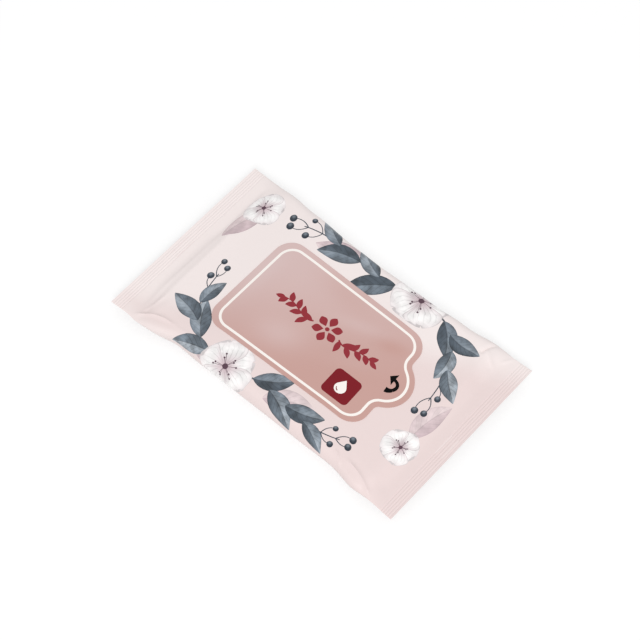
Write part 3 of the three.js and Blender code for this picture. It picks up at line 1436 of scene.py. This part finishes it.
@dataclass
class FilmPiece:
    """The printed film of the pack, as one closed skin."""

    form: FilmForm
    finish: PrintFinish
    cell: float = 0.9
    row_gap: float = 0.3
    row_room: float = 0.6
    row_rounds: int = 25
    rib_steps: int = 8
    faint_length: float = 21.0
    faint_width: float = 9.5
    faint_bend: float = 0.06

    def shapes(self) -> list[Shape]:
        """Draw the print: sprigs and blossoms in a loose wreath around the label, over faint leaves.

        Returns:
            Its fields, in painting order.
        """
        bases = [(33, 40), (-29, -40), (57, -12), (-60, 8), (4, -37), (-8, 37)]
        angles = [196, 20, 78, 66, 24, 204]
        behind = [
            Leaf(base, angle, self.faint_length, self.faint_width, self.faint_bend, wash=Wash.BLUSH)
            for base, angle in zip(bases, angles)
        ]
        sprigs = [
            Sprig([(-20, -36), (-34, -35), (-45, -26), (-47, -6)], 18, 8.5, spread=30, berries=3, number=1),
            Sprig([(-10, -35), (6, -28), (18, -40), (38, -31)], 19, 9, spread=30, berries=4, number=3),
            Sprig([(30, 35), (42, 33), (50, 24), (52, 4)], 17, 8.5, spread=32, berries=3, number=2, side=-1),
            Sprig([(16, 36), (2, 29), (-14, 38), (-36, 31)], 20, 9, spread=30, berries=4, number=4),
        ]
        blossoms = [
            Blossom((-16, -36), 12, turn=48, number=510),
            Blossom((22, 35.5), 12.5, turn=20, number=500),
            Blossom((57, -17), 8, turn=5, number=520),
            Blossom((-55, 27), 8.5, turn=33, number=530),
        ]
        return [shape for motif in behind + sprigs + blossoms for shape in motif.shapes()]

    @staticmethod
    def ground(points: Points) -> Ink:
        """Lay the film's pale pink with painted shade that deepens it towards the near right, a painted
        light that lifts the near left flank, and an even mix of both tones on the underside.

        Args:
            points: Points on the flat film.

        Returns:
            Their ink.
        """
        x, y = points.T
        # Painted shade deepens the pink towards the near right; a painted light halves that shade on the
        # near left flank.
        painted_shade_near_right = smoothstep(0.5 * x - y, -8, 10) * (0.85 + 0.15 * smoothstep(x, -20, 50))
        painted_light_near_left = smoothstep(-y, 35, 40) * smoothstep(-x, 30, 48)
        underside = smoothstep(np.abs(y), 46, 62)
        deep = painted_shade_near_right * (1 - 0.5 * painted_light_near_left)
        deep += (0.5 - deep) * underside
        return Ink.bare(blend(Palette.FILM_PALE.rgb, Palette.FILM_SHADED.rgb, deep))

    def grid(self) -> tuple[Points, Points]:
        """Lay out the film's corners, closer together across the ribs.

        Returns:
            The rows along the flat film, and the columns around it.
        """
        band_end, half = self.form.seal_band, self.form.flat_length / 2
        band = np.arange(0, band_end, self.form.rib_pitch / self.rib_steps)
        body = np.linspace(band_end, half, round((half - band_end) / self.cell))[1:]
        from_end = np.concatenate([band, body])
        rows = np.concatenate([from_end - half, (half - from_end)[-2::-1]])
        around = 4 * round(self.form.flat_width / 2 / self.cell)
        columns = np.linspace(-1, 1, around + 1) * self.form.flat_width
        return rows, columns

    def build(self) -> bpy.types.Object:
        """Cut, print and fill the film.

        Returns:
            The film as a new object.
        """
        rows, columns = self.grid()
        left, right = np.full_like(columns, rows[0]), np.full_like(columns, rows[-1])
        low, high = np.full_like(rows, columns[0]), np.full_like(rows, columns[-1])
        boundary = np.vstack([
            np.column_stack([rows, low])[:-1],
            np.column_stack([right, columns])[:-1],
            np.column_stack([rows, high])[:0:-1],
            np.column_stack([left, columns])[:0:-1],
        ])
        xs, ss = np.meshgrid(rows[1:-1], columns[1:-1], indexing="ij")
        inner = self._with_creases(np.column_stack([xs.ravel(), ss.ravel()]))
        sheet = PrintedSheet("film_pouch", boundary, inner, self.shapes(), self.ground)
        flat, cut, owner = sheet.triangles()
        ink = sheet.inks(flat, cut, owner)
        places = self.form.at(flat) * MM
        welded = self._weld(flat, columns[-1])
        faces = welded[cut]
        caps = [self._cap(flat, welded, end, columns[-1]) for end in (rows[0], rows[-1])]
        mesh = bpy.data.meshes.new(sheet.name)
        mesh.from_pydata(places.tolist(), [], faces.tolist() + caps)
        cap_corners = flat[[k for cap in caps for k in cap]]
        bare = self.ground(cap_corners)
        whole = Ink(*(np.vstack(pair) for pair in zip(vars(ink).values(), vars(bare).values())))
        corners = np.vstack([flat[cut.ravel()], cap_corners])
        write_ink(mesh, whole, corners, 2 * self.form.flat_width)
        return finished_piece(sheet.name, mesh, self.finish.material())

    def _with_creases(self, grid: Points) -> Points:
        """Put rows of corners along the sharp creases in place of the grid's own corners there.

        Args:
            grid: The grid's corners on the flat film.

        Returns:
            The corners to use.
        """
        plan = np.vstack([crease.rows() for crease in self.form.creases if crease.sharp])
        flat = self.form.under(plan, self.row_rounds)
        missed = np.linalg.norm(self.form.at(flat)[:, :2] - plan, axis=1)
        reach = np.array([self.form.flat_length / 2 - self.form.seal_band, self.form.flat_width / 2])
        flat = flat[(missed < self.row_gap / 10) & np.all(np.abs(flat) < reach - self.row_gap, axis=1)]
        _, first = np.unique(np.round(flat / self.row_gap), axis=0, return_index=True)
        flat = flat[np.sort(first)]
        return np.vstack([clear_of(grid, flat, self.cell * self.row_room), flat])

    @staticmethod
    def _weld(flat: Points, edge: float) -> Points:
        """Join the two long cut edges of the film at the back seam.

        Args:
            flat: Corners on the flat film.
            edge: Place of the cut edges around the film.

        Returns:
            A number for each corner, the same for two that are joined.
        """
        numbers = np.arange(len(flat))
        first = np.flatnonzero(flat[:, 1] < -edge + NEAR)
        second = np.flatnonzero(flat[:, 1] > edge - NEAR)
        numbers[second[np.argsort(flat[second, 0])]] = first[np.argsort(flat[first, 0])]
        return numbers

    @staticmethod
    def _cap(flat: Points, welded: Points, end: float, edge: float) -> list[int]:
        """Close the cut end of a seal with one thin face.

        Args:
            flat: Corners on the flat film.
            welded: Number of each corner after joining.
            end: Place of the cut end along the film.
            edge: Place of the cut edges around the film.

        Returns:
            The face's corners.
        """
        found = np.flatnonzero((np.abs(flat[:, 0] - end) < NEAR) & (flat[:, 1] < edge - NEAR))
        ring = welded[found[np.argsort(flat[found, 1])]]
        return (ring if end > 0 else ring[::-1]).tolist()


def finished_piece(
    name: str, mesh: bpy.types.Mesh, material: bpy.types.Material, thickness: float = 0.0
) -> bpy.types.Object:
    """Link a mesh as a smooth shaded object with its material.

    Args:
        name: Name of the piece.
        mesh: Its mesh, in place.
        material: Its finish.
        thickness: Thickness that an open sheet gets below its face, in millimetres.

    Returns:
        The new object.
    """
    mesh.materials.append(material)
    piece = bpy.data.objects.new(name, mesh)
    bpy.context.scene.collection.objects.link(piece)
    bpy.ops.object.select_all(action="DESELECT")
    bpy.context.view_layer.objects.active = piece
    piece.select_set(True)
    bpy.ops.object.mode_set(mode="EDIT")
    bpy.ops.mesh.select_all(action="SELECT")
    bpy.ops.mesh.delete_loose()
    bpy.ops.object.mode_set(mode="OBJECT")
    if thickness:
        body = piece.modifiers.new("thickness", "SOLIDIFY")
        body.thickness = thickness * MM
        body.offset = -1
        bpy.ops.object.modifier_apply(modifier="thickness")
    bpy.ops.object.shade_smooth_by_angle(angle=math.radians(SMOOTH_ANGLE))
    return piece


@dataclass
class BackSeam:
    """The fin seam along the underside, folded flat against the film and crimped lengthwise."""

    form: FilmForm
    finish: PrintFinish
    thickness: float = 0.16
    gap: float = 0.04
    lines: int = 7
    line_depth: float = 0.05
    cells_along: int = 180
    cells_across: int = 56

    def build(self) -> bpy.types.Object:
        """Lay the fin along the film.

        Returns:
            The fin as a new object.
        """
        bpy.ops.object.select_all(action="DESELECT")
        bpy.ops.mesh.primitive_grid_add(
            x_subdivisions=self.cells_along, y_subdivisions=self.cells_across, size=1
        )
        grid = bpy.context.object
        mesh = grid.data
        bpy.data.objects.remove(grid)
        mesh.name = "back_seam"
        start = np.array([v.co for v in mesh.vertices])
        share = start[:, 1] + 0.5
        around = self.form.seam_width * share - self.form.flat_width
        flat = np.column_stack([start[:, 0] * self.form.flat_length, around])
        places = self.form.at(flat)
        places[:, 2] -= self.gap + self.line_depth * np.sin(np.pi * self.lines * share) ** 8
        mesh.vertices.foreach_set("co", (places * MM).astype(np.float32).ravel())
        mesh.update()
        corners = flat[[loop.vertex_index for loop in mesh.loops]]
        write_ink(mesh, FilmPiece.ground(corners), corners, 2 * self.form.flat_width)
        return finished_piece(mesh.name, mesh, self.finish.material(), self.thickness)


@dataclass
class Badge:
    """A dark square with rounded corners and a white drop."""

    centre: tuple[float, float] = (23.0, -14.1)
    half: float = 6.3
    corner: float = 2.0
    drop_sink: float = 0.9
    drop_bowl: float = 2.5
    drop_tip: float = 4.3
    glint_share: float = 0.62
    glint_arc: tuple[float, float] = (190.0, 262.0)
    glint_widths: tuple[float, float] = (0.3, 0.5)

    def shapes(self) -> list[Shape]:
        """Draw the badge.

        Returns:
            The square, the drop and a glint in the drop.
        """
        centre = np.array(self.centre)
        ways = (self.half - self.corner) * np.array([(1, -1), (1, 1), (-1, 1), (-1, -1)])
        square = np.vstack([
            arc(tuple(centre + way), self.corner, 90 * k - 90, 90 * k, 7) for k, way in enumerate(ways)
        ])
        heart = centre - np.array([0.0, self.drop_sink])
        lean = math.degrees(math.acos(self.drop_bowl / self.drop_tip))
        bowl = arc(tuple(heart), self.drop_bowl, 90 + lean, 450 - lean, 26)
        drop = np.vstack([bowl, heart + np.array([[0, self.drop_tip]])])
        glint = arc(tuple(heart), self.drop_bowl * self.glint_share, *self.glint_arc, 8)
        return [
            flat_shape(square, Palette.CARMINE),
            flat_shape(drop, Palette.KEYLINE),
            flat_shape(stroke(glint, *self.glint_widths), Palette.CARMINE),
        ]


@dataclass
class PeelArrow:
    """A bold arrow that turns back, where the tab is peeled."""

    turn: tuple[tuple[float, float], ...] = ((36.3, -3.05), (39.3, -2.9), (41.3, 2.3), (36.9, 2.8))
    head: tuple[tuple[float, float], ...] = ((36.95, -0.1), (37.0, 5.8), (34.45, 2.9))
    waist: int = 10
    tail_widths: tuple[float, float] = (2.6, 1.45)
    shaft_widths: tuple[float, float] = (1.45, 1.4)

    def shapes(self) -> list[Shape]:
        """Draw the arrow.

        Returns:
            Its broad tail, its shaft and its head.
        """
        line = bezier(np.array(self.turn), 30)
        tail = stroke(line[:self.waist + 1], *self.tail_widths)
        shaft = stroke(line[self.waist:], *self.shaft_widths)
        return [flat_shape(part, Palette.INK_BLACK) for part in (tail, shaft, np.array(self.head))]


@dataclass
class Ornament:
    """A small flower between two mirrored sprigs, in one colour."""

    centre: tuple[float, float] = (2.6, 2.2)
    heart: float = 0.95
    petals: int = 6
    petal_turn: float = 30.0
    petal_start: float = 1.5
    petal_length: float = 4.9
    petal_width: float = 3.5
    petal_fullness: float = 1.25
    stem: tuple[tuple[float, float], ...] = ((6.6, -0.6), (11, -4.2), (16, 2.4), (22, 0.2))
    stem_widths: tuple[float, float] = (0.7, 0.4)
    leaves: int = 8
    leaf_step: float = 3.7
    leaf_turn: float = 48.0
    leaf_length: float = 5.6
    leaf_taper: float = 0.18
    leaf_width: float = 2.5
    leaf_bend: float = 0.08
    tip_length: float = 4.2
    tip_width: float = 2.1

    def shapes(self) -> list[Shape]:
        """Draw the ornament.

        Returns:
            The flower's fields, then those of the sprigs.
        """
        outlines = [disc(self.centre, self.heart, 18)]
        for k in range(self.petals):
            turn = 360 / self.petals * k + self.petal_turn
            base = np.array(self.centre) + self.petal_start * direction(turn)
            petal = Blade(tuple(base), turn, self.petal_length, self.petal_width, 0.0, self.petal_fullness)
            outlines.append(petal.outline())
        for mirror in (1, -1):
            outlines += self._half_sprig(mirror)
        return [flat_shape(outline, Palette.ROSEWOOD) for outline in outlines]

    def _half_sprig(self, mirror: int) -> list[Points]:
        """Draw the sprig on one side of the flower.

        Args:
            mirror: 1 for the right one and -1 for the left one.

        Returns:
            The outlines of its stem and leaves.
        """
        stem = np.array(self.centre) + np.array([mirror, 1]) * bezier(np.array(self.stem), 30)
        ways = headings(stem)
        outlines = [stroke(stem, *self.stem_widths)]
        for k in range(self.leaves):
            at = 1 + round(self.leaf_step * k)
            side = 1 if k % 2 else -1
            leaf = Blade(
                tuple(stem[at]),
                ways[at] + self.leaf_turn * side,
                self.leaf_length - self.leaf_taper * k,
                self.leaf_width,
                bend=-self.leaf_bend * side,
            )
            outlines.append(leaf.outline())
        last = Blade(tuple(stem[-1]), ways[-1], self.tip_length, self.tip_width)
        return outlines + [last.outline()]


@dataclass(frozen=True)
class PaintedSheenPatch:
    """A soft patch of painted sheen in the label's field, a painted reflection that is lighter where its
    depth is below zero and darker where it is above.
    """

    x: float
    y: float
    long: float
    wide: float
    turn: float
    depth: float

    def share(self, points: Points) -> Points:
        """Find how much of the deep tone the painted sheen patch adds.

        Args:
            points: Points on the flat label.

        Returns:
            The share for each point.
        """
        cosine, sine = direction(self.turn)
        right, up = points[:, 0] - self.x, points[:, 1] - self.y
        along = right * cosine + up * sine
        across = up * cosine - right * sine
        return self.depth * np.exp(-((along / self.long) ** 2) - (across / self.wide) ** 2)


@dataclass
class ResealLabel:
    """The die-cut label, stuck on the film, with its printed field, keyline and pictograms."""

    form: FilmForm
    finish: PrintFinish
    low: Vector
    high: Vector
    corner: float = 8.0
    tab_reach: float = 7.7
    tab_radius: float = 12.6
    tab_rise: float = 0.4
    neck_radius: float = 3.2
    thickness: float = 0.15
    gap: float = 0.04
    keyline_inset: float = 2.18
    keyline_width: float = 1.1
    print_ease: float = 1.0
    end_margin: float = 0.6
    side_margin: float = 0.45
    lower_corners: tuple[tuple[float, float], ...] = ((-38.2, -25.6), (38.8, -24.3))
    upper_corners: tuple[tuple[float, float], ...] = ((-37.7, 24.6), (36.6, 23.1))
    cell: float = 1.3
    fade_way: tuple[float, float] = (0.6, -0.9)
    fade: tuple[float, float] = (-34.0, 24.0)
    # Soft patches of painted reflection, light and dark, as of the label's film catching the light in gentle
    # undulations.
    sheen_patches: tuple[PaintedSheenPatch, ...] = (
        PaintedSheenPatch(12.0, 12.2, long=13.0, wide=3.0, turn=20.0, depth=-0.28),
        PaintedSheenPatch(-10.0, -12.0, long=10.0, wide=6.5, turn=20.0, depth=-0.48),
        PaintedSheenPatch(27.0, 13.5, long=7.0, wide=3.5, turn=20.0, depth=0.32),
        PaintedSheenPatch(20.0, -3.0, long=10.0, wide=3.0, turn=30.0, depth=-0.12),
        PaintedSheenPatch(-3.0, 21.0, long=15.0, wide=6.5, turn=0.0, depth=0.34),
        PaintedSheenPatch(-35.0, 4.0, long=16.0, wide=5.0, turn=90.0, depth=-0.24),
    )

    def outline(self, inset: float = 0.0) -> Points:
        """Draw the label's edge, or a printed line inside it, rounder and a little off centre.

        Args:
            inset: Distance of a printed line from the edge, or zero for the edge.

        Returns:
            The outline's corners.
        """
        printed = 1.0 if inset else 0.0
        end = self.high.x - self.tab_reach
        tab_x = self.high.x - self.tab_radius
        neck_x = end + self.neck_radius
        neck_y = math.sqrt((self.tab_radius + self.neck_radius) ** 2 - (neck_x - tab_x) ** 2)
        lean = math.degrees(math.atan2(neck_y, neck_x - tab_x))
        neck = self.neck_radius + inset
        bend = self.corner - inset + self.print_ease * printed
        left = self.low.x + inset + bend + self.end_margin * printed
        right = end - inset - bend
        lower = self.low.y + inset + bend - self.side_margin * printed
        upper = self.high.y - inset - bend
        edge = np.vstack([
            arc((right, lower), bend, -90, 0, 12),
            arc((neck_x, self.tab_rise - neck_y), neck, 180, 180 - lean, 12),
            arc((tab_x, self.tab_rise), self.tab_radius - inset, -lean, lean, 24)[1:-1],
            arc((neck_x, self.tab_rise + neck_y), neck, 180 + lean, 180, 12),
            arc((right, upper), bend, 0, 90, 12),
            arc((left, upper), bend, 90, 180, 12),
            arc((left, lower), bend, 180, 270, 12),
        ])
        return divided(edge, self.cell)

    def field_ink(self, points: Points) -> Ink:
        """Lay the rose field, paler towards its upper left, with soft patches of painted sheen.

        Args:
            points: Points on the flat label.

        Returns:
            Their ink.
        """
        deep = smoothstep(self.fade_way[0] * points[:, 0] + self.fade_way[1] * points[:, 1], *self.fade)
        # Painted sheen: each patch adds painted reflection, lighter or darker, to the field.
        for sheen in self.sheen_patches:
            deep = deep + sheen.share(points)
        return Ink.bare(blend(Palette.LABEL_LIGHT.rgb, Palette.LABEL_DEEP.rgb, deep))

    def laid(self, points: Points) -> Points:
        """Lay the die-cut drawing on the pack, where it narrows a little towards its tab.

        Args:
            points: Points of the drawing.

        Returns:
            The points in the plan view.
        """
        along = (points[:, 0] - self.low.x) / (self.high.x - self.tab_reach - self.low.x)
        across = (points[:, 1] - self.low.y) / (self.high.y - self.low.y)
        lower, upper = (
            start + (end - start) * along[:, None]
            for start, end in (np.array(self.lower_corners), np.array(self.upper_corners))
        )
        return lower + (upper - lower) * across[:, None]

    def shapes(self) -> list[Shape]:
        """Draw the label's print.

        Returns:
            Its fields, in painting order.
        """
        drawn = [
            flat_shape(self.outline(self.keyline_inset), Palette.KEYLINE),
            Shape(self.outline(self.keyline_inset + self.keyline_width), self.field_ink),
        ]
        return drawn + Badge().shapes() + PeelArrow().shapes() + Ornament().shapes()

    def build(self) -> bpy.types.Object:
        """Cut, print and stick the label down.

        Returns:
            The label as a new object.
        """
        xs = np.arange(self.low.x, self.high.x, self.cell)
        ys = np.arange(self.low.y, self.high.y, self.cell)
        grid = np.stack(np.meshgrid(xs, ys), axis=-1).reshape(-1, 2)
        sheet = PrintedSheet("reseal_label_film", self.outline(), grid, self.shapes(), self.field_ink)
        flat, cut, owner = sheet.triangles()
        ink = sheet.inks(flat, cut, owner)
        used, cut = np.unique(cut, return_inverse=True)
        flat, cut = flat[used], cut.reshape(-1, 3)
        places = self.form.at(self.form.under(self.laid(flat)))
        places[:, 2] += self.gap + self.thickness
        mesh = bpy.data.meshes.new(sheet.name)
        mesh.from_pydata((places * MM).tolist(), [], cut.tolist())
        write_ink(mesh, ink, flat[cut.ravel()], 2 * self.high.x)
        return finished_piece(sheet.name, mesh, self.finish.material(), self.thickness)


@dataclass
class Studio:
    """A pale floor, soft light and the camera of the photograph."""

    azimuth: float = 41.21
    elevation: float = 59.08
    distance: float = 898.8
    focal_pixels: float = 2300.0
    frame_pixels: float = 640.0
    target: tuple[float, float, float] = (0.0, 0.0, 5.5)
    offset_right: float = 0.04
    offset_up: float = 6.24
    sensor: float = 36.0
    surround: float = 0.712
    key_power: float = 6.3
    key_size: float = 0.5
    key_place: tuple[float, float, float] = (0.55, -0.68, 0.97)
    floor_size: float = 6.0
    floor_drop: float = 0.0001
    floor_roughness: float = 0.9
    floor_grey: float = 0.75
    floor_seen: float = 0.45
    floor_lift: float = 0.59

    def camera(self) -> None:
        """Set the camera where the photograph was taken from."""
        turn, rise = math.radians(self.azimuth), math.radians(self.elevation)
        back = Vector((math.sin(turn) * math.cos(rise), -math.cos(turn) * math.cos(rise), math.sin(rise)))
        right = Vector((math.cos(turn), math.sin(turn), 0))
        up = back.cross(right)
        place = Vector(self.target) + back * self.distance + right * self.offset_right + up * self.offset_up
        lens = bpy.data.cameras.new("camera")
        lens.sensor_width = self.sensor
        lens.lens = self.focal_pixels / self.frame_pixels * self.sensor
        camera = bpy.data.objects.new("camera", lens)
        camera.location = place * MM
        camera.rotation_euler = back.to_track_quat("Z", "Y").to_euler()
        bpy.context.scene.collection.objects.link(camera)
        bpy.context.scene.camera = camera

    def floor(self) -> None:
        """Lay a white floor under the pack, which keeps the pack's shadow."""
        bpy.ops.object.select_all(action="DESELECT")
        bpy.ops.mesh.primitive_plane_add(size=self.floor_size, location=(0, 0, -self.floor_drop))
        floor = bpy.context.object
        floor.name = "floor"
        white = bpy.data.materials.new("floor_white")
        white.use_nodes = True
        tree = white.node_tree
        nodes = NodeSketch(tree)
        shader = tree.nodes["Principled BSDF"]
        shader.inputs["Roughness"].default_value = self.floor_roughness
        shader.inputs["Specular IOR Level"].default_value = 0.0
        shader.inputs["Emission Color"].default_value = (1, 1, 1, 1)
        tree.links.new(nodes.seen_or_lit(self.floor_seen, self.floor_grey), shader.inputs["Base Color"])
        tree.links.new(nodes.seen_or_lit(self.floor_lift, 0.0), shader.inputs["Emission Strength"])
        floor.data.materials.append(white)

    def lights(self) -> None:
        """Set a bright even surround and one soft lamp on the camera's side."""
        world = bpy.data.worlds.new("studio")
        world.use_nodes = True
        tree = world.node_tree
        sky = tree.nodes["Background"]
        sky.inputs["Color"].default_value = (1, 1, 1, 1)
        tree.links.new(NodeSketch(tree).seen_or_lit(1.0, self.surround), sky.inputs["Strength"])
        bpy.context.scene.world = world
        lamp = bpy.data.lights.new("key", "AREA")
        lamp.size = self.key_size
        lamp.energy = self.key_power
        holder = bpy.data.objects.new("key", lamp)
        holder.location = self.key_place
        holder.rotation_euler = Vector(self.key_place).to_track_quat("Z", "Y").to_euler()
        bpy.context.scene.collection.objects.link(holder)


def packed_box(node: str) -> tuple[Vector, Vector]:
    """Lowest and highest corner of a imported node, in millimetres."""
    low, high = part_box(node)
    return low / MM, high / MM


def settle(piece: bpy.types.Object, node: str) -> None:
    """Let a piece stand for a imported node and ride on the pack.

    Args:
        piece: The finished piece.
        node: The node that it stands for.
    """
    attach(piece, "root")
    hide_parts(node)
    LOG.info("%s stands for %s, %d faces", piece.name, node, len(piece.data.polygons))


def main() -> None:
    """Build the pack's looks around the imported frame."""
    logging.basicConfig(level=logging.INFO, format="%(name)s: %(message)s")
    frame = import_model()
    LOG.info("packed nodes: %s", ", ".join(frame["nodes"]))
    bpy.context.scene.view_settings.view_transform = "Standard"

    pouch = FilledPouch()
    low, high = packed_box("film_pack")
    form = FilmForm(pouch.fill(), low, high, pouch.flat_length, pouch.flat_width)
    film_finish = PrintFinish("printed_film", roughness=0.3, gloss=0.4, crinkle=0.2)
    film = FilmPiece(form, film_finish).build()
    settle(film, "film_pack")
    settle(BackSeam(form, film_finish).build(), "film_pack")

    low, high = packed_box("reseal_label")
    label_finish = PrintFinish("label_film", roughness=0.36, gloss=0.06, crinkle=0.1)
    label = ResealLabel(form, label_finish, low, high).build()
    settle(label, "reseal_label")

    studio = Studio()
    studio.camera()
    studio.floor()
    studio.lights()


if __name__ == "__main__":
    main()
